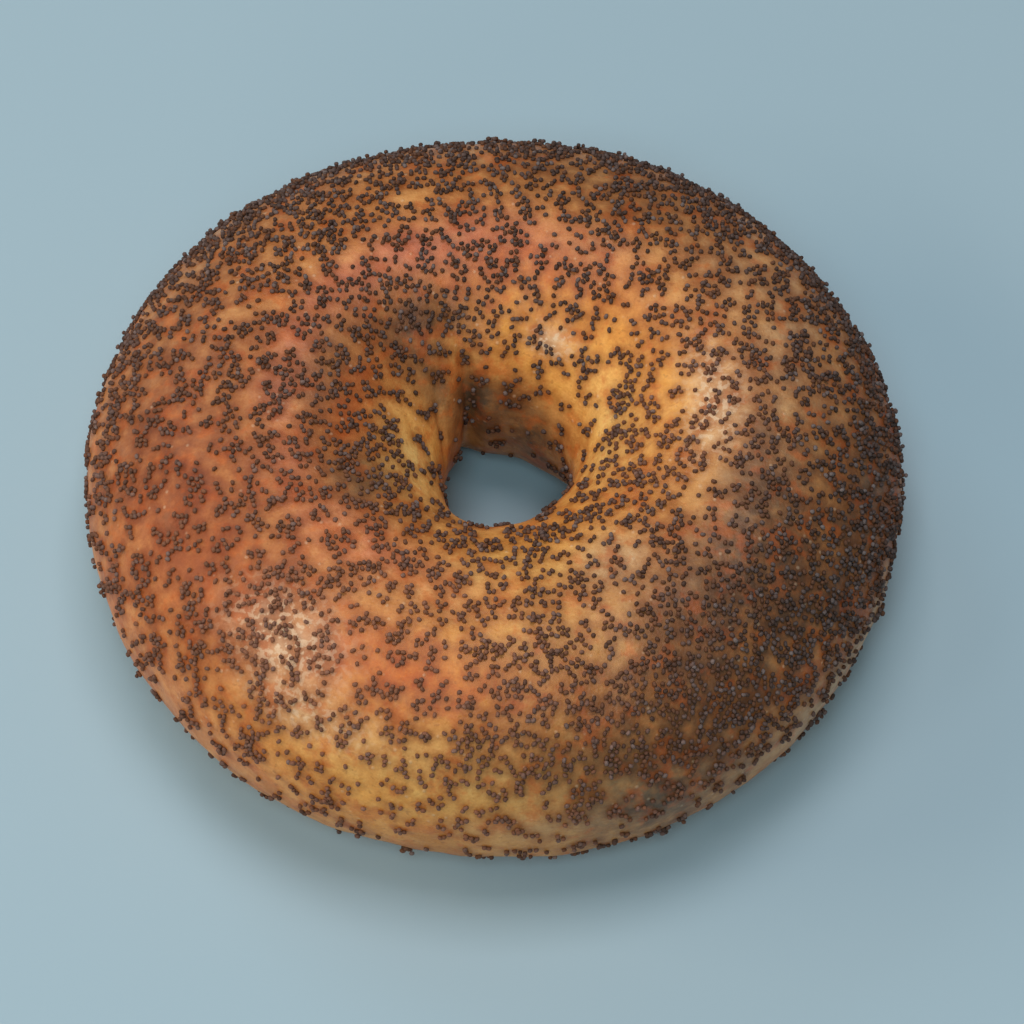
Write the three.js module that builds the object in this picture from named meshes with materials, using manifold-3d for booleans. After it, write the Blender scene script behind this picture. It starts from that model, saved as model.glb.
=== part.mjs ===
// A poppy seed bagel: one boiled and baked ring of dough, plump on top and flat where it lies, with the pinched
// seam of the rolled dough inside its hole and its seeds baked into the crust.
//
// Units are millimetres and +Z is up. The origin is the middle of the bagel's footprint, on the surface it lies on.
// A place on the crust is given by two angles in degrees. The ring angle goes round the hole, from +X towards +Y.
// The section angle goes round the dough: 0 faces out, 90 up, 180 into the hole and 270 down.

import * as THREE from "three";
import { ParametricGeometry } from "three/addons/geometries/ParametricGeometry.js";
import { mergeVertices } from "three/addons/utils/BufferGeometryUtils.js";
import Module from "manifold-3d";

// ---- Driving dimensions of the ring ----
const OUTER_RADIUS = 53.9; // of the bare crust, averaged round the ring
const THROAT_RADIUS = 9.05; // of the hole where it is narrowest
const HEIGHT = 37.6;
const EQUATOR_HEIGHT = 18.5; // where the dough is widest
const BASE_SINK = 3; // how much lower the round underside would hang if it had not settled flat
const BASE_CORNER = 1.8; // softens the corner where the flat base begins
const UNDERSIDE_FULLNESS = 2.2; // exponent of the lower half's superellipse, 2 is an ellipse

// ---- Hand-rolled unevenness ----
// Waves round the ring: how many, how high, and the ring angle where one peaks.
const OUTER_LOBES = [
  { order: 2, size: 1.09, peak: -9 },
  { order: 3, size: 0.3, peak: 32 },
  { order: 4, size: 0.12, peak: -44 },
  { order: 5, size: 0.14, peak: -1 },
  { order: 6, size: 0.1, peak: 4 },
];
const THROAT_LOBES = [
  { order: 1, size: 1.68, peak: 13 },
  { order: 2, size: 0.66, peak: 63 },
  { order: 3, size: 0.35, peak: 12 },
];
// Swells and hollows of the crust: where the middle is, how far it spreads along both angles, and its rise.
const SWELLS = [
  { name: "dip beside the seam", ring: 124, section: 122, ringSpread: 24, sectionSpread: 24, rise: -1.3 },
  { name: "rolled lip left of the seam", ring: 146, section: 172, ringSpread: 18, sectionSpread: 42, rise: 0.4 },
  { name: "bulge low on the far wall", ring: 52, section: 205, ringSpread: 26, sectionSpread: 32, rise: 1.7 },
  { name: "rounded near rim", ring: 205, section: 150, ringSpread: 26, sectionSpread: 40, rise: 0.4 },
  { name: "plump front left", ring: 236, section: 58, ringSpread: 30, sectionSpread: 28, rise: 0.7 },
  { name: "slack front", ring: 278, section: 22, ringSpread: 26, sectionSpread: 26, rise: -0.3 },
  { name: "plump right", ring: 352, section: 66, ringSpread: 34, sectionSpread: 34, rise: 0.4 },
  { name: "slack right edge", ring: 346, section: 8, ringSpread: 14, sectionSpread: 30, rise: -0.3 },
  { name: "plump back", ring: 62, section: 70, ringSpread: 30, sectionSpread: 36, rise: 0.5 },
  { name: "flat back left", ring: 158, section: 52, ringSpread: 26, sectionSpread: 30, rise: -0.6 },
];
// The seam: a groove down the hole's wall that climbs over its rim and fades on the shoulder.
const SEAM_RING = 108;
const SEAM_DEPTH = 2.2;
const SEAM_WALL_SPREAD = 9;
const SEAM_SHOULDER_SPREAD = 7;
const SEAM_MIDDLE = 192; // section angle of its deepest stretch
const SEAM_REACH = 48;

// ---- Poppy seeds ----
const SEED_LENGTH = 0.9;
const SEED_WIDTH = 0.78;
const SEED_THICKNESS = 0.7;
const SEED_SHOWS = 0.15; // how far a seed's middle stands above the crust
const SEED_COUNT = 205;
const SEED_FROM_SECTION = -42; // the seeded stretch of the crust, from under the outer edge ...
const SEED_TO_SECTION = 214; // ... over the top and down the hole
const SEED_SIZE_CHANGE = 0.12;
const SEED_RANDOM_START = 20417;

// ---- Mesh steps ----
const RING_STEPS = 72;
const SECTION_STEPS = 30;
const SEED_STEPS = { around: 5, down: 3 };

const CRUST_COLOUR = 0xc27a3c;

const degrees = THREE.MathUtils.degToRad;

/** Signed angle from b to a, both in degrees, between -180 and 180. */
function turnBetween(a, b) {
  return ((((a - b + 180) % 360) + 360) % 360) - 180;
}

/** 1 at the middle, falling smoothly to 0 a little past the spread. */
function bell(distance, spread) {
  return Math.exp(-((distance / spread) ** 2));
}

function lobeSum(lobes, ring) {
  return lobes.reduce((sum, lobe) => sum + lobe.size * Math.cos(lobe.order * degrees(ring - lobe.peak)), 0);
}

/** How far the crust stands out from the plain ring, square to it. */
function relief(ring, section) {
  let rise = 0;
  for (const swell of SWELLS) {
    rise +=
      swell.rise *
      bell(turnBetween(ring, swell.ring), swell.ringSpread) *
      bell(turnBetween(section, swell.section), swell.sectionSpread);
  }
  const climb = turnBetween(section, SEAM_MIDDLE);
  const onWall = THREE.MathUtils.smoothstep(section, 90, 150);
  const spread = THREE.MathUtils.lerp(SEAM_SHOULDER_SPREAD, SEAM_WALL_SPREAD, onWall);
  return rise - SEAM_DEPTH * bell(turnBetween(ring, SEAM_RING), spread) * bell(climb, SEAM_REACH);
}

/** Keeps heights above the base and rounds those near it up to a flat. */
function settle(height) {
  if (height <= -BASE_CORNER) return 0;
  if (height >= BASE_CORNER) return height;
  return (height + BASE_CORNER) ** 2 / (4 * BASE_CORNER);
}

/** The point of the crust at two angles in degrees, with section from 0 to 360. */
function crustPoint(ring, section, target = new THREE.Vector3()) {
  const outer = OUTER_RADIUS + lobeSum(OUTER_LOBES, ring);
  const throat = THROAT_RADIUS + lobeSum(THROAT_LOBES, ring);
  const halfWidth = (outer - throat) / 2;
  const middle = (outer + throat) / 2;
  const across = Math.cos(degrees(section));
  const upward = Math.sin(degrees(section));
  let width = across;
  let height = EQUATOR_HEIGHT + upward * (HEIGHT - EQUATOR_HEIGHT);
  if (upward < 0) {
    const fullness = 2 / UNDERSIDE_FULLNESS;
    width = Math.sign(across) * Math.abs(across) ** fullness;
    height = EQUATOR_HEIGHT - Math.abs(upward) ** fullness * (EQUATOR_HEIGHT + BASE_SINK);
  }
  const rise = relief(ring, section);
  const radius = middle + halfWidth * width + rise * across;
  height = settle(height + rise * upward);
  return target.set(radius * Math.cos(degrees(ring)), radius * Math.sin(degrees(ring)), height);
}

/** The ring of dough without its seeds, as one closed surface. */
function crustGeometry() {
  const place = (u, v, target) => crustPoint(360 * (u % 1), 360 * (v % 1), target);
  return new ParametricGeometry(place, RING_STEPS, SECTION_STEPS);
}

/** The place and the outward direction on the crust's facets at two angles, where a seed can hold. */
function facetAt(ring, section) {
  const ringStep = 360 / RING_STEPS;
  const sectionStep = 360 / SECTION_STEPS;
  const ringFrom = Math.floor(ring / ringStep) * ringStep;
  const sectionFrom = Math.floor(section / sectionStep) * sectionStep;
  const near = crustPoint(ringFrom, sectionFrom);
  const along = crustPoint(ringFrom + ringStep, sectionFrom);
  const over = crustPoint(ringFrom, sectionFrom + sectionStep);
  const far = crustPoint(ringFrom + ringStep, sectionFrom + sectionStep);
  const normal = far.clone().sub(near).cross(over.clone().sub(along)).normalize();
  const place = near.lerp(along, (ring - ringFrom) / ringStep);
  place.lerp(over.lerp(far, (ring - ringFrom) / ringStep), (section - sectionFrom) / sectionStep);
  return { place, normal };
}

/** A repeatable draw of numbers from 0 to 1. */
function seededRandom(start) {
  let state = start;
  return () => {
    state = (state + 0x6d2b79f5) | 0;
    let mixed = Math.imul(state ^ (state >>> 15), 1 | state);
    mixed = (mixed + Math.imul(mixed ^ (mixed >>> 7), 61 | mixed)) ^ mixed;
    return ((mixed ^ (mixed >>> 14)) >>> 0) / 4294967296;
  };
}

/** The section angle below which a given share of the seeded crust's area lies. */
function sectionAtShare(share) {
  const middle = (OUTER_RADIUS + THROAT_RADIUS) / 2;
  const halfWidth = (OUTER_RADIUS - THROAT_RADIUS) / 2;
  const area = (section) => middle * degrees(section) + halfWidth * Math.sin(degrees(section));
  const wanted = THREE.MathUtils.lerp(area(SEED_FROM_SECTION), area(SEED_TO_SECTION), share);
  let low = SEED_FROM_SECTION;
  let high = SEED_TO_SECTION;
  while (high - low > 0.01) {
    const tried = (low + high) / 2;
    if (area(tried) < wanted) low = tried;
    else high = tried;
  }
  return (low + high) / 2;
}

/** One seed as an ellipsoid, half sunk in the crust and turned at random on it. */
function seedGeometry(ring, section, random) {
  const size = 1 + SEED_SIZE_CHANGE * (2 * random() - 1);
  const seed = new THREE.SphereGeometry(0.5, SEED_STEPS.around, SEED_STEPS.down);
  seed.rotateX(Math.PI / 2);
  seed.scale(SEED_LENGTH * size, SEED_WIDTH * size, SEED_THICKNESS * size);
  seed.rotateZ(2 * Math.PI * random());
  const { place, normal } = facetAt(ring, section);
  seed.applyQuaternion(new THREE.Quaternion().setFromUnitVectors(new THREE.Vector3(0, 0, 1), normal));
  place.addScaledVector(normal, SEED_SHOWS);
  return seed.translate(place.x, place.y, place.z);
}

/** All seeds, spread evenly by area with an additive recurrence on the plastic number. */
function seedGeometries() {
  const plastic = 1.324717957244746;
  const random = seededRandom(SEED_RANDOM_START);
  return Array.from({ length: SEED_COUNT }, (_, index) => {
    const ring = 360 * ((index / plastic) % 1);
    const section = sectionAtShare((index / plastic ** 2) % 1);
    return seedGeometry(ring, section, random);
  });
}

const wasm = await Module();
wasm.setup();

/** A closed three.js geometry as a solid for joining. */
function toSolid(geometry) {
  const bare = geometry.clone().deleteAttribute("normal").deleteAttribute("uv");
  const merged = mergeVertices(bare, 1e-4);
  return new wasm.Manifold(
    new wasm.Mesh({
      numProp: 3,
      vertProperties: new Float32Array(merged.attributes.position.array),
      triVerts: new Uint32Array(merged.index.array),
    }),
  );
}

function toGeometry(solid) {
  const mesh = solid.getMesh();
  const geometry = new THREE.BufferGeometry();
  geometry.setAttribute("position", new THREE.BufferAttribute(mesh.vertProperties, 3));
  geometry.setIndex(new THREE.BufferAttribute(mesh.triVerts, 1));
  geometry.computeVertexNormals();
  return geometry;
}

/** The crust with its seeds fused on, its footprint centred on the origin. */
function bagelGeometry() {
  const solids = [crustGeometry(), ...seedGeometries()].map(toSolid);
  const bagel = toGeometry(wasm.Manifold.union(solids));
  bagel.computeBoundingBox();
  const middle = bagel.boundingBox.getCenter(new THREE.Vector3());
  return bagel.translate(-middle.x, -middle.y, 0);
}

const bagel = new THREE.Mesh(
  bagelGeometry(),
  new THREE.MeshStandardMaterial({ color: CRUST_COLOUR, roughness: 0.5, metalness: 0 }),
);
bagel.name = "bagel";

const part = new THREE.Group();
part.add(bagel);

export default part;
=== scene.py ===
"""A poppy seed bagel: a boiled and baked ring of dough, closely covered in poppy seeds, on a pale floor.

The scene is in metres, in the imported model's frame: +Z up, with the origin in the middle of the bagel's
footprint. The sizes of the bagel are given in millimetres. A place on its crust is given by two angles in
degrees. The ring angle goes round the hole, from +X towards +Y. The section angle goes round the dough: 0
faces out, 90 up, 180 into the hole and 270 down.
"""
import logging
import math
from dataclasses import dataclass, field
from enum import Enum
from itertools import product

import bpy
import numpy as np
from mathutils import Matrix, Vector, noise
from mathutils.bvhtree import BVHTree
from mathutils.kdtree import KDTree


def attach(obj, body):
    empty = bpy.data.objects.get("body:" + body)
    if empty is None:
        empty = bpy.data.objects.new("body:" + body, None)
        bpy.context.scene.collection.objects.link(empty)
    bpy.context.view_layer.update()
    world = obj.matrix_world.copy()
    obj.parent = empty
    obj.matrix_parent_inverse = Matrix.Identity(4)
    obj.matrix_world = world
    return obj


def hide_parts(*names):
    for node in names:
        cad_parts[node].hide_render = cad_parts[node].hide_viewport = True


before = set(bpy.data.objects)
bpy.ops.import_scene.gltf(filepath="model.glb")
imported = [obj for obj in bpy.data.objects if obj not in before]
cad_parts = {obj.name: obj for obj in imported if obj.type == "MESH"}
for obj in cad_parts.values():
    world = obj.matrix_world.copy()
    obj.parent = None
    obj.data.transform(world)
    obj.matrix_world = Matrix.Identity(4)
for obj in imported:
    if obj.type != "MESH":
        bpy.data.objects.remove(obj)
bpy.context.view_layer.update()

MM = 0.001
LOG = logging.getLogger("bagel")

Colour = tuple[float, float, float]
Tint = tuple[float, float, float, float]


# ------------------------------------------------
# Small maths
# ------------------------------------------------
def srgb(red: int, green: int, blue: int) -> Tint:
    """A linear RGBA colour from screen values of 0 to 255.

    Args:
        red: Screen red.
        green: Screen green.
        blue: Screen blue.

    Returns:
        The linear colour with alpha 1.
    """
    shares = [screen / 255 for screen in (red, green, blue)]
    linear = [share / 12.92 if share <= 0.04045 else ((share + 0.055) / 1.055) ** 2.4 for share in shares]
    return (*linear, 1.0)


def turn_between(first: np.ndarray, second: float) -> np.ndarray:
    """Signed angle from second to first, in degrees, between -180 and 180."""
    return np.mod(first - second + 180.0, 360.0) - 180.0


def bell(distance: np.ndarray, spread: np.ndarray | float) -> np.ndarray:
    """1 at the middle, falling smoothly to 0 a little past the spread."""
    return np.exp(-((distance / spread) ** 2))


def smooth_step(value: np.ndarray, start: float, end: float) -> np.ndarray:
    """0 before start, 1 after end and a smooth climb between them."""
    share = np.clip((value - start) / (end - start), 0.0, 1.0)
    return share * share * (3.0 - 2.0 * share)


def band(value: np.ndarray, edges: tuple[float, float, float, float]) -> np.ndarray:
    """1 between the two middle edges, falling smoothly to 0 at the outer two."""
    return smooth_step(value, edges[0], edges[1]) * (1.0 - smooth_step(value, edges[2], edges[3]))


@dataclass(frozen=True)
class Wave:
    """A wave round the ring: how many crests, how high, and the ring angle where one peaks."""

    order: int
    size: float
    peak: float

    def at(self, ring: np.ndarray) -> np.ndarray:
        """The wave's height at ring angles, in its own units."""
        return self.size * np.cos(self.order * np.radians(ring - self.peak))


@dataclass(frozen=True)
class Patch:
    """A soft-edged patch of the crust: where it is, how wide, what it adds in its middle and how it leans."""

    name: str
    ring: float
    section: float
    ring_spread: float
    section_spread: float
    amount: float
    lean: float = 0.0

    def at(self, ring: np.ndarray, section: np.ndarray) -> np.ndarray:
        """How much the patch adds at places on the crust.

        Args:
            ring: Ring angles.
            section: Section angles.

        Returns:
            The amounts, one for each place.
        """
        climb = turn_between(section, self.section)
        across = turn_between(ring, self.ring) - self.lean * climb
        return self.amount * bell(across, self.ring_spread) * bell(climb, self.section_spread)


def patch_sum(patches: tuple[Patch, ...], ring: np.ndarray, section: np.ndarray) -> np.ndarray:
    """The sum of several patches at places on the crust.

    Args:
        patches: The patches.
        ring: Ring angles.
        section: Section angles.

    Returns:
        The summed amounts, one for each place.
    """
    total = np.zeros(np.broadcast(ring, section).shape)
    for patch in patches:
        total = total + patch.at(ring, section)
    return total


# ------------------------------------------------
# Node writing
# ------------------------------------------------
class Value:
    """A number in a material, on which ordinary arithmetic adds Math nodes."""

    def __init__(self, sheet: "NodeSheet", socket: bpy.types.NodeSocket) -> None:
        """Wraps a socket of a sheet's node."""
        self.sheet = sheet
        self.socket = socket

    def math(self, operation: str, *others: "Value | float") -> "Value":
        """This number after a Math node.

        Args:
            operation: The Math node's operation.
            others: Its further numbers.

        Returns:
            The node's result.
        """
        sockets = dict(enumerate((self, *others)))
        return self.sheet.value("ShaderNodeMath", {"operation": operation}, sockets)

    def __add__(self, other: "Value | float") -> "Value":
        """This number plus another."""
        return self.math("ADD", other)

    __radd__ = __add__

    def __sub__(self, other: "Value | float") -> "Value":
        """This number less another."""
        return self.math("SUBTRACT", other)

    def __rsub__(self, other: float) -> "Value":
        """Another number less this one."""
        return (self * -1.0) + other

    def __mul__(self, other: "Value | float") -> "Value":
        """This number times another."""
        return self.math("MULTIPLY", other)

    __rmul__ = __mul__

    def clamp(self) -> "Value":
        """This number kept between 0 and 1."""
        return self.math("MAXIMUM", 0.0).math("MINIMUM", 1.0)

    def step(self, start: float, end: float) -> "Value":
        """0 where this number is below start, 1 above end, and a smooth climb between them."""
        sockets = {"Value": self, "From Min": start, "From Max": end}
        return self.sheet.value("ShaderNodeMapRange", {"interpolation_type": "SMOOTHSTEP"}, sockets)


class NodeSheet:
    """A material's nodes: a Principled surface and whatever feeds it."""

    def __init__(self, name: str) -> None:
        """Starts a material with a bare Principled surface.

        Args:
            name: What the material is called.
        """
        self.material = bpy.data.materials.new(name)
        self.material.use_nodes = True
        self.tree = self.material.node_tree
        self.tree.nodes.clear()
        self.surface = self.node("ShaderNodeBsdfPrincipled")
        output = self.node("ShaderNodeOutputMaterial")
        self.tree.links.new(self.surface.outputs[0], output.inputs["Surface"])

    def node(self, kind: str, settings: dict | None = None, sockets: dict | None = None) -> bpy.types.Node:
        """Adds a node, sets it up and fills its inputs.

        Args:
            kind: The node's type.
            settings: Its properties, which are set first.
            sockets: Values, colours, sockets or Values for its inputs, by name or number.

        Returns:
            The node.
        """
        made = self.tree.nodes.new(kind)
        for key, setting in (settings or {}).items():
            setattr(made, key, setting)
        for key, given in (sockets or {}).items():
            self.feed(made.inputs[key], given)
        return made

    def feed(self, socket: bpy.types.NodeSocket,
             given: "Value | bpy.types.NodeSocket | float | tuple") -> None:
        """Links or sets one input.

        Args:
            socket: The input.
            given: What it takes.
        """
        if isinstance(given, Value):
            given = given.socket
        if isinstance(given, bpy.types.NodeSocket):
            self.tree.links.new(given, socket)
        else:
            socket.default_value = given

    def value(self, kind: str, settings: dict | None = None, sockets: dict | None = None,
              output: int = 0) -> Value:
        """The number that a new node gives out.

        Args:
            kind: The node's type.
            settings: Its properties.
            sockets: What its inputs take.
            output: Which of its outputs is meant.

        Returns:
            The number.
        """
        return Value(self, self.node(kind, settings, sockets).outputs[output])

    def place(self) -> bpy.types.NodeSocket:
        """The object's own coordinates, in metres."""
        return self.node("ShaderNodeTexCoord").outputs["Object"]

    def attribute(self, name: str) -> Value:
        """A number stored on the mesh's points."""
        return self.value("ShaderNodeAttribute", {"attribute_name": name}, output=2)

    def noise(self, grain: float, detail: float, roughness: float) -> Value:
        """Soft noise from 0 to 1.

        Args:
            grain: The size of its blotches in millimetres.
            detail: How many finer layers it has.
            roughness: How strong the finer layers are.

        Returns:
            The noise.
        """
        sockets = {"Vector": self.place(), "Scale": 1 / (grain * MM)}
        sockets |= {"Detail": detail, "Roughness": roughness}
        return self.value("ShaderNodeTexNoise", {"noise_dimensions": "3D"}, sockets)

    def cells(self, size: float) -> Value:
        """The distance to the nearest of scattered points, in shares of a cell's size in millimetres."""
        sockets = {"Vector": self.place(), "Scale": 1 / (size * MM)}
        return self.value("ShaderNodeTexVoronoi", {"feature": "F1"}, sockets)

    def mix(self, share: Value, first: Tint | bpy.types.NodeSocket, second: Tint | bpy.types.NodeSocket,
            blend: str = "MIX") -> bpy.types.NodeSocket:
        """A colour between two others.

        Args:
            share: How much of the second, from 0 to 1.
            first: The colour at share 0.
            second: The colour at share 1, or the one blended in.
            blend: The Mix node's blend type.

        Returns:
            The mixed colour.
        """
        settings = {"data_type": "RGBA", "blend_type": blend, "clamp_factor": True}
        return self.node("ShaderNodeMix", settings, {0: share, 6: first, 7: second}).outputs[2]

    def bump(self, height: Value, depth: float,
             under: bpy.types.NodeSocket | None = None) -> bpy.types.NodeSocket:
        """A normal tilted by a height.

        Args:
            height: The height, about 0 to 1.
            depth: What a height of 1 stands for, in millimetres.
            under: A normal that it is added to.

        Returns:
            The normal.
        """
        sockets = {"Height": height, "Distance": depth * MM, "Strength": 1.0}
        if under is not None:
            sockets["Normal"] = under
        return self.node("ShaderNodeBump", {}, sockets).outputs["Normal"]


# ------------------------------------------------
# The ring's shape
# ------------------------------------------------
@dataclass(frozen=True)
class Ring:
    """The shape of the baked ring of dough, in millimetres and degrees."""

    outer_radius: float = 53.9
    throat_radius: float = 9.05
    height: float = 37.6
    equator_height: float = 18.5
    base_sink: float = 3.0
    base_corner: float = 1.8
    underside_fullness: float = 2.2
    outer_waves: tuple[Wave, ...] = (
        Wave(2, 1.09, -9), Wave(3, 0.3, 32), Wave(4, 0.12, -44), Wave(5, 0.14, -1), Wave(6, 0.1, 4),
    )
    throat_waves: tuple[Wave, ...] = (Wave(1, 1.68, 13), Wave(2, 0.66, 63), Wave(3, 0.35, 12))
    swells: tuple[Patch, ...] = (
        Patch("dip beside the seam", 124, 122, 24, 24, -1.3),
        Patch("rolled lip left of the seam", 146, 172, 18, 42, 0.4),
        Patch("bulge low on the far wall", 52, 205, 26, 32, 1.7),
        Patch("rounded near rim", 205, 150, 26, 40, 0.4),
        Patch("plump front left", 236, 58, 30, 28, 0.7),
        Patch("slack front", 278, 22, 26, 26, -0.3),
        Patch("plump right", 352, 66, 34, 34, 0.4),
        Patch("slack right edge", 346, 8, 14, 30, -0.3),
        Patch("plump back", 62, 70, 30, 36, 0.5),
        Patch("flat back left", 158, 52, 26, 30, -0.6),
    )
    wall_starts: float = 90.0
    wall_full: float = 150.0
    seam_ring: float = 108.0
    seam_depth: float = 2.2
    seam_wall_spread: float = 9.0
    seam_shoulder_spread: float = 7.0
    seam_middle: float = 192.0
    seam_reach: float = 48.0
    creases: tuple[Patch, ...] = (
        Patch("crease inside the seam", 107.5, 172, 4.4, 40, -1.0, lean=0.05),
        Patch("fold left of the seam", 144, 162, 5.5, 20, -0.5, lean=1.1),
        Patch("wrinkle on the left lip", 172, 150, 2.6, 14, -0.16, lean=1.2),
        Patch("stretch line on the far wall", 86, 158, 2.2, 24, -0.1, lean=-0.05),
        Patch("second stretch line", 66, 150, 2.0, 20, -0.08, lean=0.08),
        Patch("pucker above the seam", 103, 131, 2.2, 12, 0.22),
        Patch("wrinkle on the shoulder", 62, 132, 2.4, 8, 0.14, lean=0.5),
    )
    lift: float = 0.3

    @property
    def middle(self) -> float:
        """The radius of the middle of the dough in the plain ring."""
        return (self.outer_radius + self.throat_radius) / 2

    def relief(self, ring: np.ndarray, section: np.ndarray) -> np.ndarray:
        """How far the crust stands out from the plain ring, square to it.

        Args:
            ring: Ring angles.
            section: Section angles.

        Returns:
            The heights in millimetres.
        """
        on_wall = smooth_step(section, self.wall_starts, self.wall_full)
        spread = self.seam_shoulder_spread + (self.seam_wall_spread - self.seam_shoulder_spread) * on_wall
        seam = bell(turn_between(ring, self.seam_ring), spread)
        seam = seam * bell(turn_between(section, self.seam_middle), self.seam_reach)
        swells = patch_sum(self.swells, ring, section)
        return swells - self.seam_depth * seam + patch_sum(self.creases, ring, section)

    def settle(self, height: np.ndarray) -> np.ndarray:
        """Keeps heights above the base and rounds those near it up to a flat.

        Args:
            height: The heights in millimetres.

        Returns:
            The settled heights.
        """
        corner = self.base_corner
        rounded = (np.maximum(height, -corner) + corner) ** 2 / (4 * corner)
        return np.where(height >= corner, height, rounded)

    def points(self, ring: np.ndarray, section: np.ndarray) -> np.ndarray:
        """Places on the crust, in millimetres from the middle of the plain ring.

        Args:
            ring: Ring angles.
            section: Section angles from 0 to 360.

        Returns:
            One row of X, Y and Z for each place.
        """
        outer = self.outer_radius + sum(wave.at(ring) for wave in self.outer_waves)
        throat = self.throat_radius + sum(wave.at(ring) for wave in self.throat_waves)
        across, upward = np.cos(np.radians(section)), np.sin(np.radians(section))
        fullness = 2.0 / self.underside_fullness
        under = upward < 0
        width = np.where(under, np.sign(across) * np.abs(across) ** fullness, across)
        top = self.equator_height + upward * (self.height - self.equator_height)
        bottom = self.equator_height - np.abs(upward) ** fullness * (self.equator_height + self.base_sink)
        rise = self.relief(ring, section)
        radius = (outer + throat) / 2 + (outer - throat) / 2 * width + rise * across
        height = self.settle(np.where(under, bottom, top) + rise * upward)
        angle = np.radians(ring)
        return np.stack([radius * np.cos(angle), radius * np.sin(angle), height], axis=-1)


# ------------------------------------------------
# The crust
# ------------------------------------------------
class Bake(Enum):
    """Tones of boiling and baking, and painted light, shade and sheen, each the name of a stored mask."""

    HONEY = "honey"
    EMBER = "ember"
    BLUSH = "blush_and_sheen"
    DUSTY = "dusty"
    TOAST = "toast_and_shade"
    STRAW = "straw"
    CREAM = "painted_sheen"


@dataclass(frozen=True)
class Mottling:
    """A colour that lies on the crust in soft random blotches, sized in millimetres."""

    colour: Tint
    size: float
    detail: float
    roughness: float
    start: float
    full: float
    amount: float
    blend: str = "MIX"

    def over(self, sheet: NodeSheet, colour: bpy.types.NodeSocket) -> bpy.types.NodeSocket:
        """The crust's colour with the blotches laid over it."""
        share = sheet.noise(self.size, self.detail, self.roughness).step(self.start, self.full) * self.amount
        return sheet.mix(share, colour, self.colour, self.blend)


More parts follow.
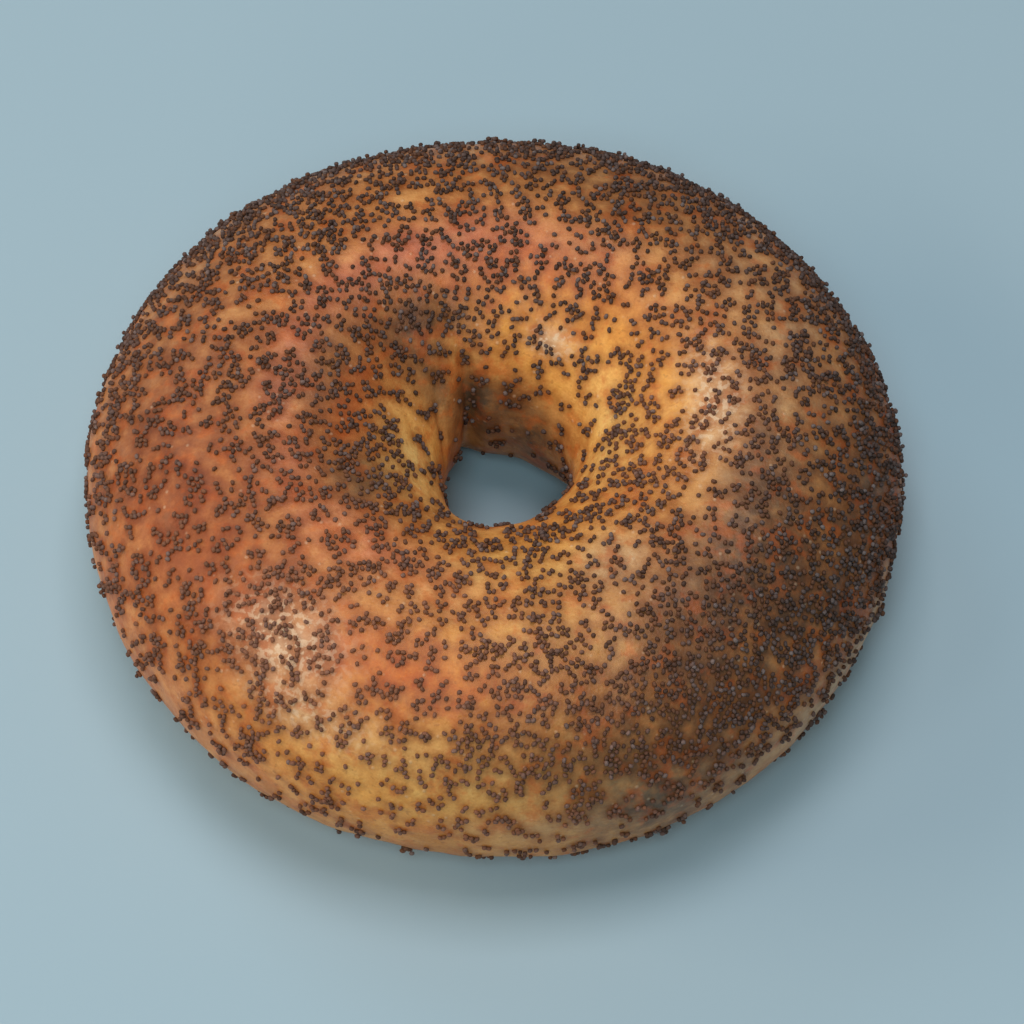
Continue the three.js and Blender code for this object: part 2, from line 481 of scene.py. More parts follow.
@dataclass(frozen=True)
class CrustFinish:
    """The colours and the skin of the crust, with sizes and depths in millimetres."""

    light: Tint = srgb(236, 168, 96)
    deep: Tint = srgb(206, 134, 68)
    tones: tuple[tuple[Bake, Tint], ...] = (
        (Bake.HONEY, srgb(255, 180, 80)),
        # Pink blush, also used for painted sheen along the crest.
        (Bake.EMBER, srgb(224, 106, 34)),
        (Bake.BLUSH, srgb(244, 150, 108)),
        (Bake.DUSTY, srgb(226, 186, 142)),
        # Toasted brown, also used for painted shade in the seam and deep in the hole.
        (Bake.TOAST, srgb(110, 91, 71)),
        (Bake.STRAW, srgb(255, 208, 126)),
        # Painted sheen: the pale cream laid where the lamps' highlights fall.
        (Bake.CREAM, srgb(250, 216, 176)),
    )
    blotches: Mottling = Mottling(srgb(222, 112, 40), 3.4, 3.0, 0.6, 0.5, 0.66, 0.45)
    browning: Mottling = Mottling(srgb(228, 204, 182), 2.4, 4.0, 0.65, 0.38, 0.66, 0.6, "MULTIPLY")
    freckles: Mottling = Mottling(srgb(150, 78, 34), 0.9, 2.0, 0.5, 0.6, 0.72, 0.3)
    grain: Mottling = Mottling(srgb(228, 204, 182), 0.4, 3.0, 0.7, 0.35, 0.65, 0.35, "MULTIPLY")
    # The pale colour of the blisters and of the painted glints.
    bloom_and_glint: Tint = srgb(252, 222, 184)
    # Painted shade round the seeds: the colour the crust is darkened towards where seeds lie close.
    seed_shade: Tint = srgb(200, 176, 164)
    seed_shade_amount: float = 0.8
    drift_size: float = 6.0
    fine_size: float = 1.5
    drift_fray: float = 1.2
    fine_fray: float = 1.1
    glint_size: float = 0.8
    blister_size: float = 2.2
    blister_amount: float = 0.25
    blister_depth: float = 0.05
    peel_size: float = 1.1
    peel_depth: float = 0.12
    pore_size: float = 0.8
    pore_depth: float = 0.03
    roughness: float = 0.38
    refraction: float = 1.45
    shine: float = 0.4

    def material(self) -> bpy.types.Material:
        """The crust's material.

        Returns:
            The material, which reads the masks stored on the crust.
        """
        sheet = NodeSheet("baked_crust")
        drift = sheet.noise(self.drift_size, 3.0, 0.55)
        fine = sheet.noise(self.fine_size, 4.0, 0.6)
        blisters = 1.0 - sheet.cells(self.blister_size).step(0.04, 0.16)
        sheet.feed(sheet.surface.inputs["Base Color"], self._colour(sheet, drift, fine, blisters))
        rough = self.roughness + fine * 0.2 + sheet.attribute(Bake.CREAM.value) * 0.05
        sheet.feed(sheet.surface.inputs["Roughness"], rough)
        sheet.surface.inputs["IOR"].default_value = self.refraction
        sheet.surface.inputs["Specular IOR Level"].default_value = self.shine
        sheet.feed(sheet.surface.inputs["Normal"], self._skin(sheet, blisters))
        return sheet.material

    def _colour(self, sheet: NodeSheet, drift: Value, fine: Value, blisters: Value) -> bpy.types.NodeSocket:
        """The colour of the crust, layer by layer.

        Args:
            sheet: The material's nodes.
            drift: Broad noise.
            fine: Fine noise.
            blisters: 1 on the tiny blisters and 0 between them.

        Returns:
            The colour.
        """
        colour = sheet.mix(drift.step(0.35, 0.65), self.light, self.deep)
        ragged = (drift - 0.5) * self.drift_fray + (fine - 0.5) * self.fine_fray
        # Besides the baked tones, some masks are painted light, shade and sheen.
        for tone, tint in self.tones:
            mask = sheet.attribute(tone.value)
            colour = sheet.mix((mask + ragged * mask).clamp(), colour, tint)
        colour = self.blotches.over(sheet, colour)
        colour = self.browning.over(sheet, colour)
        # Painted shade: the crust darkened where seeds lie close.
        colour = sheet.mix(sheet.attribute("seed_shade") * self.seed_shade_amount, colour, self.seed_shade, "MULTIPLY")
        # Painted glints: pale specks scattered over the painted sheen.
        glints = sheet.noise(self.glint_size, 2.0, 0.5).step(0.5, 0.6) * sheet.attribute(Bake.CREAM.value)
        colour = sheet.mix(glints.clamp(), colour, self.bloom_and_glint)
        colour = self.freckles.over(sheet, colour)
        colour = sheet.mix(blisters * self.blister_amount, colour, self.bloom_and_glint)
        return self.grain.over(sheet, colour)

    def _skin(self, sheet: NodeSheet, blisters: Value) -> bpy.types.NodeSocket:
        """The fine relief of the crust's skin.

        Args:
            sheet: The material's nodes.
            blisters: 1 on the tiny blisters and 0 between them.

        Returns:
            The normal.
        """
        peel = sheet.bump(sheet.noise(self.peel_size, 3.0, 0.6), self.peel_depth)
        pores = sheet.bump(1.0 - sheet.cells(self.pore_size).step(0.0, 0.4), -self.pore_depth, peel)
        return sheet.bump(blisters, self.blister_depth, pores)


@dataclass
class Crust:
    """The ring of dough without its seeds, with the fine relief of its skin."""

    ring: Ring = field(default_factory=Ring)
    finish: CrustFinish = field(default_factory=CrustFinish)
    section_corners: int = 28
    ring_corners: int = 48
    cuts: int = 7
    lump_size: float = 9.0
    lump_height: float = 0.35
    ripple_size: float = 3.0
    ripple_height: float = 0.09
    free_above: tuple[float, float] = (0.02, 3.0)
    merge: float = 0.01
    tones: dict[Bake, tuple[Patch, ...]] = field(default_factory=lambda: {
        Bake.HONEY: (
            # The four hole patches are partly the crust's own gold and partly painted light: the walls and
            # lips of the hole brighter than the lamps light them.
            Patch("right wall of the hole", 12, 140, 50, 20, 1.0),
            Patch("far wall of the hole", 72, 132, 38, 22, 0.95),
            Patch("left lip of the hole", 184, 153, 36, 20, 1.0),
            Patch("near lip of the hole", 284, 118, 34, 18, 1.0),
            Patch("front face", 254, 16, 28, 24, 0.95),
            Patch("right crown", 2, 108, 30, 14, 0.7),
            Patch("front shoulder", 264, 68, 28, 24, 0.8),
        ),
        Bake.EMBER: (
            Patch("left flank", 196, 54, 36, 30, 0.95),
            Patch("behind the hole", 76, 111, 34, 10, 0.5),
            Patch("left crown", 176, 120, 26, 9, 0.8),
            Patch("front glow", 252, 66, 26, 16, 0.6),
            Patch("low at the right", 352, 14, 22, 14, 0.4),
        ),
        Bake.BLUSH: (
            # The three crest patches are painted sheen: a paler pink band along the top where the overhead
            # light's sheen falls.
            Patch("crest at the back", 104, 98, 44, 11, 0.6),
            Patch("crest at the left", 168, 97, 44, 9, 0.7),
            Patch("crest at the front", 240, 102, 28, 14, 0.8),
            Patch("foot at the front left", 212, 4, 34, 22, 0.4),
        ),
        Bake.DUSTY: (
            Patch("back flank", 106, 38, 70, 18, 0.6),
            Patch("foot at the right", 328, -2, 22, 13, 0.8),
            Patch("foot at the front", 276, 6, 15, 9, 0.4),
            Patch("back right", 24, 66, 24, 18, 0.6),
            Patch("front right crown", 304, 101, 12, 12, 0.8),
            Patch("right shoulder", 344, 80, 28, 12, 0.35),
        ),
        Bake.TOAST: (
            Patch("lower right", 311, 47, 31, 27, 0.7),
            Patch("right edge", 354, 36, 30, 20, 0.58),
            Patch("right shoulder", 337, 75, 32, 18, 0.6),
            Patch("back brown patch", 66, 68, 28, 18, 0.45),
            Patch("dark left flank", 186, 58, 42, 32, 0.52),
            Patch("left crest", 162, 108, 23, 12, 0.45),
            Patch("beside the seam", 122, 124, 17, 12, 0.75),
            Patch("left wall of the hole", 132, 148, 16, 16, 0.5),
            # Painted shade: darker crust in the seam's groove.
            Patch("seam", 102, 162, 8, 28, 0.45),
            Patch("left of the hole", 208, 119, 13, 11, 0.9),
            # Painted shade: darker crust low on the hole's far and right walls.
            Patch("deep far wall", 88, 168, 40, 16, 0.68),
            Patch("deep right wall", 54, 186, 22, 12, 0.8),
            Patch("streak at the front right", 294, 4, 14, 26, 0.8),
            Patch("belly streak", 275, 32, 15, 16, 0.4),
            Patch("base", 0, 272, 900, 44, 0.35),
        ),
        Bake.STRAW: (
            Patch("front shoulder", 280, 80, 18, 14, 0.4),
            Patch("belly at the front", 260, 32, 22, 16, 0.5),
            # The four hole patches are partly painted light: lips and walls of the hole brighter than the
            # lamps give.
            Patch("bright right lip", 350, 139, 24, 14, 0.8),
            Patch("bright right wall", 22, 141, 26, 14, 0.55),
            Patch("bright left lip", 198, 148, 34, 20, 1.0),
            Patch("bright near lip", 276, 112, 24, 13, 0.6),
            Patch("front crest", 246, 93, 14, 9, 0.35),
        ),
        # Painted highlights: pale sheen on the front left, the belly, the shoulder in the hole and the right
        # crown.
        Bake.CREAM: (
            Patch("front left sheen", 231, 60, 10, 13, 0.65),
            Patch("front left belly", 241, 40, 10, 8, 0.4),
            Patch("shine on the shoulder", 62, 136, 9, 5, 0.9),
            Patch("right crown", 2, 100, 16, 9, 0.6),
        ),
    })

    def build(self) -> bpy.types.Object:
        """Builds the crust.

        Returns:
            The crust, at its place in its mesh.
        """
        crust = self._plain_ring()
        self._shape(crust)
        self._roughen(crust, "lumps", self.lump_size, self.lump_height)
        self._roughen(crust, "ripples", self.ripple_size, self.ripple_height)
        bpy.ops.object.shade_smooth()
        return crust

    def _plain_ring(self) -> bpy.types.Object:
        """A plain ring of fine quads, spun from a circle and still without unevenness.

        Returns:
            The ring.
        """
        half_width = (self.ring.outer_radius - self.ring.throat_radius) / 2 * MM
        place = (self.ring.middle * MM, 0.0, self.ring.equator_height * MM)
        bpy.ops.object.select_all(action="DESELECT")
        bpy.ops.mesh.primitive_circle_add(vertices=self.section_corners, radius=half_width, location=place)
        crust = bpy.context.object
        crust.name = "crust"
        bpy.ops.object.mode_set(mode="EDIT")
        bpy.ops.mesh.select_all(action="SELECT")
        bpy.ops.transform.rotate(value=math.pi / 2, orient_axis="X", center_override=place)
        bpy.ops.mesh.spin(steps=self.ring_corners, angle=2 * math.pi, center=(0, 0, 0), axis=(0, 0, 1))
        bpy.ops.mesh.select_all(action="SELECT")
        bpy.ops.mesh.remove_doubles(threshold=self.merge * MM)
        bpy.ops.mesh.subdivide(number_cuts=self.cuts)
        bpy.ops.mesh.select_all(action="SELECT")
        bpy.ops.mesh.normals_make_consistent(inside=False)
        bpy.ops.object.mode_set(mode="OBJECT")
        bpy.ops.object.transform_apply(location=True, rotation=True, scale=True)
        return crust

    def _shape(self, crust: bpy.types.Object) -> None:
        """Moves the ring's points onto the baked shape and stores where each lies.

        Args:
            crust: The plain ring.
        """
        places = read_points(crust.data) / MM
        outward = np.hypot(places[:, 0], places[:, 1]) - self.ring.middle
        upward = places[:, 2] - self.ring.equator_height
        ring_angle = self._even(np.arctan2(places[:, 1], places[:, 0]), self.ring_corners)
        section_angle = self._even(np.arctan2(upward, outward), self.section_corners)
        shaped = self.ring.points(ring_angle, section_angle)
        shaped[:, :2] -= (shaped[:, :2].max(axis=0) + shaped[:, :2].min(axis=0)) / 2
        shaped[:, 2] += self.ring.lift
        write_points(crust.data, shaped * MM)
        store(crust.data, "ring", ring_angle)
        store(crust.data, "section", section_angle)
        for tone, patches in self.tones.items():
            store(crust.data, tone.value, np.clip(patch_sum(patches, ring_angle, section_angle), 0.0, 1.0))

    def _even(self, angles: np.ndarray, corners: int) -> np.ndarray:
        """Moves the angles of the plain ring's points onto even steps.

        Args:
            angles: The angles in radians.
            corners: How many corners go round before the ring is divided finer.

        Returns:
            The angles in degrees, from 0 and below 360.
        """
        count = corners * (self.cuts + 1)
        return np.rint(angles / (2 * math.pi) * count) % count * (360.0 / count)

    def _roughen(self, crust: bpy.types.Object, name: str, size: float, height: float) -> None:
        """Pushes the crust in and out with a soft random pattern, except on its base.

        Args:
            crust: The crust.
            name: What the pattern is called.
            size: The size of its lumps in millimetres.
            height: How far the lumps rise and sink in millimetres.
        """
        pattern = bpy.data.textures.new(name, "CLOUDS")
        pattern.noise_scale = size * MM
        pattern.noise_depth = 1
        group = crust.vertex_groups.get("loose") or crust.vertex_groups.new(name="loose")
        places = read_points(crust.data)
        start, full = ((self.ring.lift + height_above) * MM for height_above in self.free_above)
        free = smooth_step(places[:, 2], start, full)
        for index, weight in enumerate(free):
            group.add([index], float(weight), "REPLACE")
        bpy.ops.object.select_all(action="DESELECT")
        crust.select_set(True)
        bpy.context.view_layer.objects.active = crust
        bpy.ops.object.modifier_add(type="DISPLACE")
        push = crust.modifiers[-1]
        push.texture = pattern
        push.texture_coords = "LOCAL"
        push.strength = 2 * height * MM
        push.mid_level = 0.5
        push.vertex_group = group.name
        bpy.ops.object.modifier_apply(modifier=push.name)

    def dress(self, crust: bpy.types.Object) -> None:
        """Gives the crust its finish and its place in the model.

        Args:
            crust: The crust.
        """
        crust.data.materials.append(self.finish.material())
        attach(crust, "root")


def read_points(mesh: bpy.types.Mesh) -> np.ndarray:
    """A mesh's points.

    Args:
        mesh: The mesh.

    Returns:
        One row of X, Y and Z in metres for each point.
    """
    places = np.empty(len(mesh.vertices) * 3)
    mesh.vertices.foreach_get("co", places)
    return places.reshape(-1, 3)


def write_points(mesh: bpy.types.Mesh, places: np.ndarray) -> None:
    """Moves a mesh's points to new places, one row each."""
    mesh.vertices.foreach_set("co", places.ravel())
    mesh.update()


def store(mesh: bpy.types.Mesh, name: str, numbers: np.ndarray) -> None:
    """Stores one number for each of a mesh's points under a name."""
    layer = mesh.attributes.new(name, "FLOAT", "POINT")
    layer.data.foreach_set("value", numbers.astype(np.float32))


def recall(mesh: bpy.types.Mesh, name: str) -> np.ndarray:
    """The numbers stored for a mesh's points.

    Args:
        mesh: The mesh.
        name: What they were stored under.

    Returns:
        One number for each point.
    """
    numbers = np.empty(len(mesh.vertices), np.float32)
    mesh.attributes[name].data.foreach_get("value", numbers)
    return numbers.astype(float)


# ------------------------------------------------
# The seeds
# ------------------------------------------------
class SeedKind(Enum):
    """The kinds of poppy seed in the mix."""

    SLATE = "slate"
    CHARCOAL = "charcoal"
    UMBER = "umber"
    DOVE = "dove"


@dataclass(frozen=True)
class SeedFinish:
    """One kind of seed: its share of the mix, the two colours its seeds lie between and their dull skin."""

    kind: SeedKind
    share: float
    dark: Tint
    pale: Tint
    glaze: Tint = srgb(162, 104, 74)
    pit_size: float = 0.17
    pit_depth: float = 0.035
    pit_amount: float = 0.45
    roughness: float = 0.6
    shine: float = 0.3

    def material(self) -> bpy.types.Material:
        """The material of this kind of seed.

        Returns:
            The material, which reads the tone stored on each seed.
        """
        sheet = NodeSheet(f"{self.kind.value}_poppy_seed")
        net = sheet.cells(self.pit_size)
        colour = sheet.mix(sheet.attribute("tone"), self.dark, self.pale)
        colour = sheet.mix(net.step(0.35, 0.75) * self.pit_amount, colour, self.pale)
        colour = sheet.mix(sheet.attribute("glaze"), colour, self.glaze)
        sheet.feed(sheet.surface.inputs["Base Color"], colour)
        sheet.feed(sheet.surface.inputs["Roughness"], self.roughness + sheet.attribute("tone") * 0.2)
        sheet.surface.inputs["Specular IOR Level"].default_value = self.shine
        sheet.feed(sheet.surface.inputs["Normal"], sheet.bump(net, self.pit_depth))
        return sheet.material


@dataclass(frozen=True)
class Facets:
    """The crust cut into triangles in an even order, so that the same draws lay the same seeds each time."""

    points: np.ndarray
    corners: np.ndarray
    ring: np.ndarray
    section: np.ndarray

    @classmethod
    def of(cls, crust: bpy.types.Object) -> "Facets":
        """Cuts a crust into triangles.

        Args:
            crust: The crust.

        Returns:
            Its triangles, with the angles at the first corner of each.
        """
        ring, section = recall(crust.data, "ring"), recall(crust.data, "section")
        order = np.lexsort((section, ring))
        points, ring, section = read_points(crust.data)[order], ring[order], section[order]
        here = np.arange(len(points)).reshape(len(np.unique(ring)), -1)
        beside, above = np.roll(here, -1, axis=0), np.roll(here, -1, axis=1)
        across = np.roll(beside, -1, axis=1)
        corners = np.stack([here, beside, across, here, across, above], axis=-1).reshape(-1, 3)
        return cls(points, corners, ring[corners[:, 0]], section[corners[:, 0]])

    def areas(self) -> np.ndarray:
        """The triangles' areas in square millimetres."""
        start, second, third = (self.points[self.corners[:, index]] for index in range(3))
        return np.linalg.norm(np.cross(second - start, third - start), axis=1) / 2 / MM ** 2


@dataclass
class PoppySeeds:
    """The seeds baked onto the crust, in loose runs and clumps, with lengths in millimetres."""

    length: float = 0.78
    width: float = 0.67
    thickness: float = 0.6
    sink: float = 0.1
    notch: float = 0.12
    size_change: float = 0.14
    size_change_shares: tuple[float, float, float] = (1.0, 0.8, 0.6)
    tip: float = 0.16
    near: float = 0.58
    touch: tuple[float, float] = (0.8, 1.0)
    cover: float = 0.76
    least_cover: float = 0.1
    seeded_band: tuple[float, float, float, float] = (-104.0, -68.0, 40.0, 62.0)
    stray_cover: float = 0.1
    stray_band: tuple[float, float, float, float] = (-140.0, -100.0, 100.0, 125.0)
    base_cover: float = 0.004
    patchiness: float = 0.66
    patch_sizes: tuple[float, float] = (3.8, 1.6)
    small_patch_share: float = 0.7
    random_start: int = 20417
    batch: int = 400
    tone_spread: tuple[float, float] = (1.6, 2.6)
    clump_sizes: tuple[float, ...] = (0.48, 0.18, 0.1, 0.07, 0.05, 0.04, 0.03, 0.02, 0.02, 0.01)
    pile_chance: float = 0.25
    pile_height: float = 0.42
    finishes: tuple[SeedFinish, ...] = (
        SeedFinish(SeedKind.SLATE, 0.3, srgb(54, 44, 41), srgb(98, 84, 80)),
        SeedFinish(SeedKind.CHARCOAL, 0.3, srgb(40, 31, 27), srgb(70, 55, 48)),
        SeedFinish(SeedKind.UMBER, 0.31, srgb(64, 40, 27), srgb(104, 68, 46)),
        SeedFinish(SeedKind.DOVE, 0.09, srgb(76, 65, 62), srgb(124, 112, 108)),
    )
    thick: tuple[Patch, ...] = (
        Patch("lower right", 314, 46, 26, 25, 1.5),
        Patch("right edge", 0, 30, 40, 20, 0.75),
        Patch("back right edge", 56, 38, 36, 20, 0.5),
        Patch("left of the hole", 206, 126, 16, 10, 0.5),
        Patch("left rim of the hole", 164, 118, 30, 14, 0.3),
        Patch("dip beside the seam", 120, 116, 16, 12, 0.3),
        Patch("near rim of the hole", 284, 125, 20, 9, 0.4),
        Patch("right rim of the hole", 330, 144, 18, 9, 0.3),
        Patch("back", 86, 66, 54, 30, 0.18),
        Patch("back edge", 118, 38, 50, 16, 0.4),
    )
    thin: tuple[Patch, ...] = (
        Patch("front slope", 246, 40, 30, 22, -0.24),
        Patch("left flank", 190, 54, 28, 32, -0.42),
        Patch("foot at the left", 205, 12, 30, 16, -0.3),
        Patch("front foot", 270, 14, 30, 18, -0.5),
        Patch("front shoulder", 262, 76, 24, 18, -0.15),
        Patch("right crown", 2, 114, 28, 18, -0.25),
    )
    strays: tuple[Patch, ...] = (
        Patch("right wall of the hole", 4, 152, 30, 7, 0.22),
        Patch("far wall of the hole", 50, 150, 22, 6, 0.2),
    )
    glazed: tuple[Patch, ...] = (
        Patch("left and front", 232, 52, 62, 70, 0.46),
        Patch("front crown", 258, 84, 30, 26, 0.14),
        Patch("front foot", 272, 0, 30, 16, 0.3),
        Patch("lower right", 326, 40, 36, 34, -0.1),
        Patch("right of the hole", 356, 112, 36, 28, 0.36),
    )
    least_glaze: float = 0.1
    glaze_change: tuple[float, float] = (0.6, 1.4)
    seed_shade_spread: float = 1.0
    seed_shade_reach: float = 1.7
    seed_shade_full: float = 1.9

    def build(self, crust: bpy.types.Object) -> list[bpy.types.Object]:
        """Builds the seeds, one piece for each kind.

        Args:
            crust: The crust they lie on.

        Returns:
            The pieces.
        """
        template = self._one_seed()
        places, normals, glaze = self._scatter(crust)
        self._seed_shade(crust, places)
        draw = np.random.default_rng(self.random_start + 1)
        shares = [finish.share for finish in self.finishes]
        picks = draw.choice(len(shares), size=len(places), p=shares)
        pieces = []
        for index, finish in enumerate(self.finishes):
            chosen = picks == index
            piece = self._many(template, f"{finish.kind.value}_seeds", places[chosen], normals[chosen], draw)
            store(piece.data, "glaze", np.repeat(glaze[chosen], len(template.data.vertices)))
            pieces.append(piece)
            LOG.info("%s seeds: %d", finish.kind.value, int(chosen.sum()))
        bpy.data.objects.remove(template)
        return pieces

    def dress(self, pieces: list[bpy.types.Object]) -> None:
        """Gives each kind of seed its finish and its place in the model.

        Args:
            pieces: The pieces, one for each finish.
        """
        for piece, finish in zip(pieces, self.finishes):
            piece.data.materials.append(finish.material())
            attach(piece, "root")

    def _one_seed(self) -> bpy.types.Object:
        """One kidney-shaped seed at the origin, lying along X.

        Returns:
            The seed.
        """
        bpy.ops.object.select_all(action="DESELECT")
        bpy.ops.mesh.primitive_uv_sphere_add(segments=8, ring_count=4, radius=0.5 * MM)
        seed = bpy.context.object
        bpy.ops.object.mode_set(mode="EDIT")
        bpy.ops.mesh.select_all(action="SELECT")
        bpy.ops.transform.resize(value=(self.length, self.width, self.thickness))
        bpy.ops.mesh.select_all(action="DESELECT")
        bpy.ops.object.mode_set(mode="OBJECT")
        for vertex in seed.data.vertices:
            at_side, at_middle = vertex.co.y > 0.3 * self.width * MM, abs(vertex.co.x) < 0.1 * MM
            vertex.select = at_side and at_middle
        bpy.ops.object.mode_set(mode="EDIT")
        bpy.ops.transform.translate(value=(0, -self.notch * self.width * MM, 0))
        bpy.ops.object.mode_set(mode="OBJECT")
        return seed

    def _wanted(self, ring: np.ndarray, section: np.ndarray) -> np.ndarray:
        """How many seeds lie on a square millimetre.

        Args:
            ring: Ring angles.
            section: Section angles.

        Returns:
            The counts, one for each place.
        """
        climb = turn_between(section, 90.0)
        count = self.cover + patch_sum(self.thick + self.thin, ring, section)
        count = np.maximum(count, self.least_cover) * band(climb, self.seeded_band)
        count = np.maximum(count, self.stray_cover * band(climb, self.stray_band)) + self.base_cover
        return count + patch_sum(self.strays, ring, section)

    def _seed_shade(self, crust: bpy.types.Object, places: np.ndarray) -> None:
        """Stores how closely seeds lie round each of the crust's points, for the painted shade that darkens
        the crust between seeds.

        Args:
            crust: The crust.
            places: Where the seeds lie.
        """
        tree = KDTree(len(places))
        for index, place in enumerate(places):
            tree.insert(place, index)
        tree.balance()
        spread, reach = self.seed_shade_spread * MM, self.seed_shade_reach * MM
        shares = []
        for point in read_points(crust.data):
            distances = np.array([distance for _, _, distance in tree.find_range(point, reach)])
            shares.append(float(bell(distances, spread).sum()))
        store(crust.data, "seed_shade", np.clip(np.array(shares) / self.seed_shade_full, 0.0, 1.0))

    def _patchy(self, points: np.ndarray) -> np.ndarray:
        """How much more or less thickly the seeds lie at points, as they fell in drifts.

        Args:
            points: The points, one row each.

        Returns:
            The factors, about 1 on average.
        """
        broad, small = (size * MM for size in self.patch_sizes)
        drifts = [noise.noise(point / broad) + self.small_patch_share * noise.noise(point / small)
                  for point in map(Vector, points)]
        factors = np.exp(self.patchiness * np.array(drifts))
        return factors / factors.mean()

    def _scatter(self, crust: bpy.types.Object) -> tuple[np.ndarray, np.ndarray, np.ndarray]:
        """Chooses where seeds lie.

        Args:
            crust: The crust they lie on.

        Returns:
            Their places, the outward directions of the crust there, and how brown each is with baked dough.
        """
        facets = Facets.of(crust)
        tree = BVHTree.FromPolygons(facets.points.tolist(), facets.corners.tolist())
        sides = facets.points[facets.corners]
        wanted = self._wanted(facets.ring, facets.section) * facets.areas()
        total = int(wanted.sum())
        wanted *= self._patchy(facets.points)[facets.corners[:, 0]]
        wanted /= wanted.sum()
        draw = np.random.default_rng(self.random_start)
        sizes = np.arange(1, len(self.clump_sizes) + 1)
        taken: dict[tuple[int, ...], list[Vector]] = {}
        laid: list[tuple[Vector, Vector, int]] = []
        while len(laid) < total:
            chosen = draw.choice(len(wanted), size=self.batch, p=wanted)
            shares = draw.dirichlet((1, 1, 1), size=len(chosen))
            seats = np.einsum("ij,ijk->ik", shares, sides[chosen])
            counts = draw.choice(sizes, size=len(chosen), p=self.clump_sizes)
            for seat, count in zip(seats, counts):
                laid.extend(self._lay_clump(Vector(seat), int(count), tree, draw, taken))
        places, normals, under = (np.array(each) for each in zip(*laid))
        glaze = patch_sum(self.glazed, facets.ring[under], facets.section[under]) + self.least_glaze
        return places, normals, glaze * draw.uniform(*self.glaze_change, len(glaze))

    def _lay_clump(self, start: Vector, count: int, tree: BVHTree, draw: np.random.Generator,
                   taken: dict) -> list[tuple[Vector, Vector, int]]:
        """Lays a few seeds that touch, each beside one of the first that were laid, so that they bunch up.

        Args:
            start: Where the first lies.
            count: How many seeds it has.
            tree: The crust, for finding its surface.
            draw: The source of chance.
            taken: The places already used, by cell.

        Returns:
            Each seed's place, the outward direction there and the triangle of the crust under it.
        """
        feet: list[tuple[Vector, Vector]] = []
        laid = []
        for _ in range(count):
            seat = start
            if feet:
                beside, normal = feet[draw.integers(len(feet), size=3).min()]
                aside = normal.orthogonal().normalized()
                heading = draw.uniform(0, 2 * math.pi)
                away = aside * math.cos(heading) + normal.cross(aside) * math.sin(heading)
                seat = beside + away * (draw.uniform(*self.touch) * self.length * MM)
            found, normal, under, _ = tree.find_nearest(seat)
            free = self._is_free(found, taken)
            if not free and draw.random() > self.pile_chance * min(len(feet), 1):
                continue
            height = self.thickness / 2 - self.sink + (0.0 if free else self.pile_height)
            place = found + normal * (height * MM)
            place.z = max(place.z, self.thickness / 2 * MM)
            if free:
                taken.setdefault(self._cell(found), []).append(found)
            feet.append((found, normal))
            laid.append((place, normal, under))
        return laid

    @staticmethod
    def _cell(place: Vector) -> tuple[int, ...]:
        """The cell, a millimetre wide, that a place lies in."""
        return tuple(math.floor(c / MM) for c in place)

    def _is_free(self, seat: Vector, taken: dict) -> bool:
        """Whether no seed lies too near a place.

        Args:
            seat: The place.
            taken: The places already used, by cell.

        Returns:
            True where a seed fits.
        """
        cell = self._cell(seat)
        for steps in product((-1, 0, 1), repeat=3):
            beside = tuple(c + step for c, step in zip(cell, steps))
            if any((other - seat).length < self.near * MM for other in taken.get(beside, ())):
                return False
        return True

    def _many(self, template: bpy.types.Object, name: str, places: np.ndarray, normals: np.ndarray,
              draw: np.random.Generator) -> bpy.types.Object:
        """Copies one seed to many places, joined in one piece.

        Args:
            template: The seed.
            name: What the piece is called.
            places: Where the seeds lie.
            normals: The outward directions of the crust there.
            draw: The source of chance.

        Returns:
            The piece.
        """
        shape = read_points(template.data)
        faces = [list(face.vertices) for face in template.data.polygons]
        moved = self._laid_out(shape, places, normals, draw)
        starts = range(0, len(places) * len(shape), len(shape))
        joined = [[corner + start for corner in face] for start in starts for face in faces]
        mesh = bpy.data.meshes.new(name)
        mesh.from_pydata(moved.reshape(-1, 3).tolist(), [], joined)
        mesh.update()
        store(mesh, "tone", np.repeat(draw.beta(*self.tone_spread, len(places)), len(shape)))
        piece = bpy.data.objects.new(name, mesh)
        bpy.context.scene.collection.objects.link(piece)
        mesh.shade_smooth()
        return piece

    def _laid_out(self, shape: np.ndarray, places: np.ndarray, normals: np.ndarray,
                  draw: np.random.Generator) -> np.ndarray:
        """Turns, tips and sizes one seed at random for each of many places.

        Args:
            shape: The seed's points.
            places: Where the seeds lie.
            normals: The outward directions of the crust there.
            draw: The source of chance.

        Returns:
            The points of each seed.
        """
        count = len(places)
        turn = draw.uniform(0, 2 * math.pi, count)
        size = 1 + self.size_change * draw.uniform(-1, 1, (count, 3)) * self.size_change_shares
        up = normals + draw.normal(0, self.tip, (count, 3))
        up /= np.linalg.norm(up, axis=1, keepdims=True)
        helper = np.where(np.abs(up[:, 2:3]) < 0.9, (0.0, 0.0, 1.0), (1.0, 0.0, 0.0))
        aside = np.cross(helper, up)
        aside /= np.linalg.norm(aside, axis=1, keepdims=True)
        along = aside * np.cos(turn)[:, None] + np.cross(up, aside) * np.sin(turn)[:, None]
        axes = np.stack([along, np.cross(up, along), up], axis=1)
        return np.einsum("pk,nk,nkc->npc", shape, size, axes) + places[:, None, :]


# ------------------------------------------------
# The studio
# ------------------------------------------------
@dataclass(frozen=True)
class SoftBox:
    """A square soft light that faces the bagel."""

    name: str
    direction: tuple[float, float, float]
    distance: float
    size: float
    power: float
    colour: Colour

    def build(self, target: Vector) -> None:
        """Hangs the light.

        Args:
            target: What it faces, in metres.
        """
        data = bpy.data.lights.new(self.name, "AREA")
        data.shape = "SQUARE"
        data.size = self.size
        data.energy = self.power
        data.color = self.colour
        light = bpy.data.objects.new(self.name, data)
        towards = Vector(self.direction).normalized()
        light.location = target + towards * self.distance
        light.rotation_euler = (-towards).to_track_quat("-Z", "Y").to_euler()
        bpy.context.scene.collection.objects.link(light)


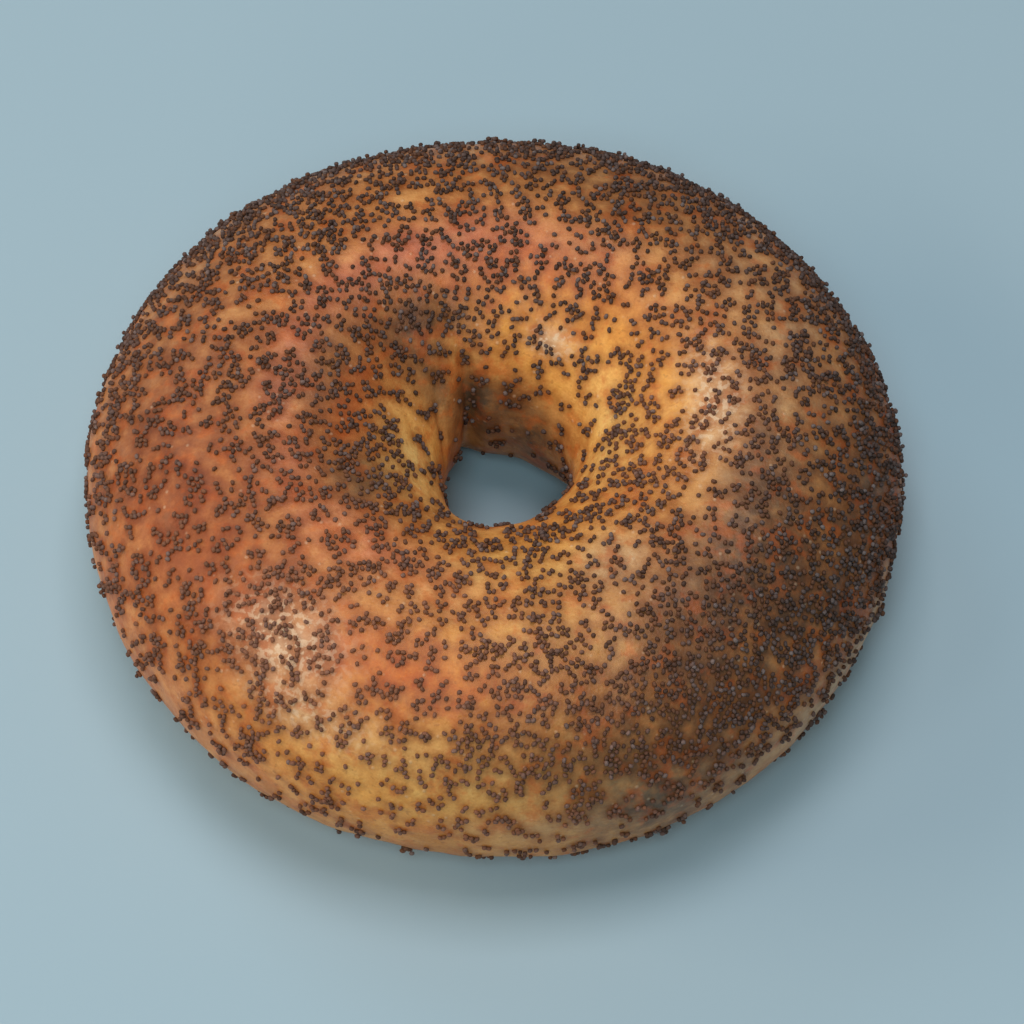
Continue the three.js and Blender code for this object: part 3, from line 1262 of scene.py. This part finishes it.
@dataclass
class Studio:
    """The floor, the lights and the camera.

    The camera's target, distance, lens and sensor are in millimetres, and the rest is in metres.
    """

    floor_size: float = 6.0
    floor_colour: Tint = srgb(167, 190, 200)
    floor_roughness: float = 0.7
    sky_colour: Colour = (0.86, 0.93, 1.0)
    sky_strength: float = 0.15
    sky_glow: float = 0.42
    target: tuple[float, float, float] = (2.452, -3.92, 18.8)
    elevation: float = 59.198
    distance: float = 626.3
    lens: float = 163.68
    sensor: float = 36.0
    sight: tuple[float, float] = (0.01, 20.0)
    lit_point: tuple[float, float, float] = (0.0, 0.0, 0.02)
    boxes: tuple[SoftBox, ...] = (
        SoftBox("overhead softbox", (0.0, 0.09, 1.0), 0.9, 0.4, 3.1, (1.0, 0.96, 0.98)),
        SoftBox("left softbox", (-0.87, 0.0, 0.5), 0.9, 0.4, 1.9, (1.0, 0.83, 0.64)),
        SoftBox("front softbox", (-0.04, -0.5, 0.86), 0.9, 0.25, 2.1, (0.66, 0.91, 1.0)),
        SoftBox("back softbox", (-0.5, 0.62, 0.6), 0.9, 0.35, 1.1, (0.62, 0.89, 1.0)),
        SoftBox("low front softbox", (-0.35, -0.85, 0.4), 0.9, 0.4, 0.8, (1.0, 0.86, 0.7)),
        SoftBox("front left lamp", (-0.61, -0.45, 0.64), 0.8, 0.14, 0.35, (1.0, 0.97, 0.93)),
    )

    def build(self) -> None:
        """Sets up the whole studio."""
        self._floor()
        self._sky()
        self._camera()
        for box in self.boxes:
            box.build(Vector(self.lit_point))

    def _floor(self) -> None:
        """Lays the pale floor."""
        bpy.ops.object.select_all(action="DESELECT")
        bpy.ops.mesh.primitive_plane_add(size=self.floor_size)
        floor = bpy.context.object
        floor.name = "studio_floor"
        sheet = NodeSheet("studio_floor_paint")
        sheet.surface.inputs["Base Color"].default_value = self.floor_colour
        sheet.surface.inputs["Roughness"].default_value = self.floor_roughness
        floor.data.materials.append(sheet.material)

    def _sky(self) -> None:
        """Sets the faint light from all round, and the brighter grey that shows past the floor's end."""
        world = bpy.data.worlds.new("studio")
        bpy.context.scene.world = world
        world.use_nodes = True
        nodes, links = world.node_tree.nodes, world.node_tree.links
        background = nodes["Background"]
        background.inputs["Color"].default_value = (*self.sky_colour, 1.0)
        rays = nodes.new("ShaderNodeLightPath")
        strength = nodes.new("ShaderNodeMapRange")
        strength.inputs["To Min"].default_value = self.sky_strength
        strength.inputs["To Max"].default_value = self.sky_glow
        links.new(rays.outputs["Is Camera Ray"], strength.inputs["Value"])
        links.new(strength.outputs[0], background.inputs["Strength"])
        bpy.context.scene.view_settings.view_transform = "Standard"

    def _camera(self) -> None:
        """Places the camera."""
        data = bpy.data.cameras.new("camera")
        data.lens = self.lens
        data.sensor_width = self.sensor
        data.clip_start, data.clip_end = self.sight
        camera = bpy.data.objects.new("camera", data)
        tilt = math.radians(self.elevation)
        target = Vector(self.target) * MM
        camera.location = target + Vector((0, -math.cos(tilt), math.sin(tilt))) * self.distance * MM
        camera.rotation_euler = (math.pi / 2 - tilt, 0.0, 0.0)
        bpy.context.scene.collection.objects.link(camera)
        bpy.context.scene.camera = camera


def main() -> None:
    """Builds the bagel and the studio, piece by piece."""
    logging.basicConfig(level=logging.INFO, format="%(name)s: %(message)s")
    crust_maker = Crust()
    crust = crust_maker.build()
    crust_maker.dress(crust)
    LOG.info("crust: %d faces", len(crust.data.polygons))
    seed_maker = PoppySeeds()
    seeds = seed_maker.build(crust)
    seed_maker.dress(seeds)
    for piece in (crust, *seeds):
        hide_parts("bagel")
    Studio().build()
    LOG.info("studio: floor, sky, camera and lights")


if __name__ == "__main__":
    main()
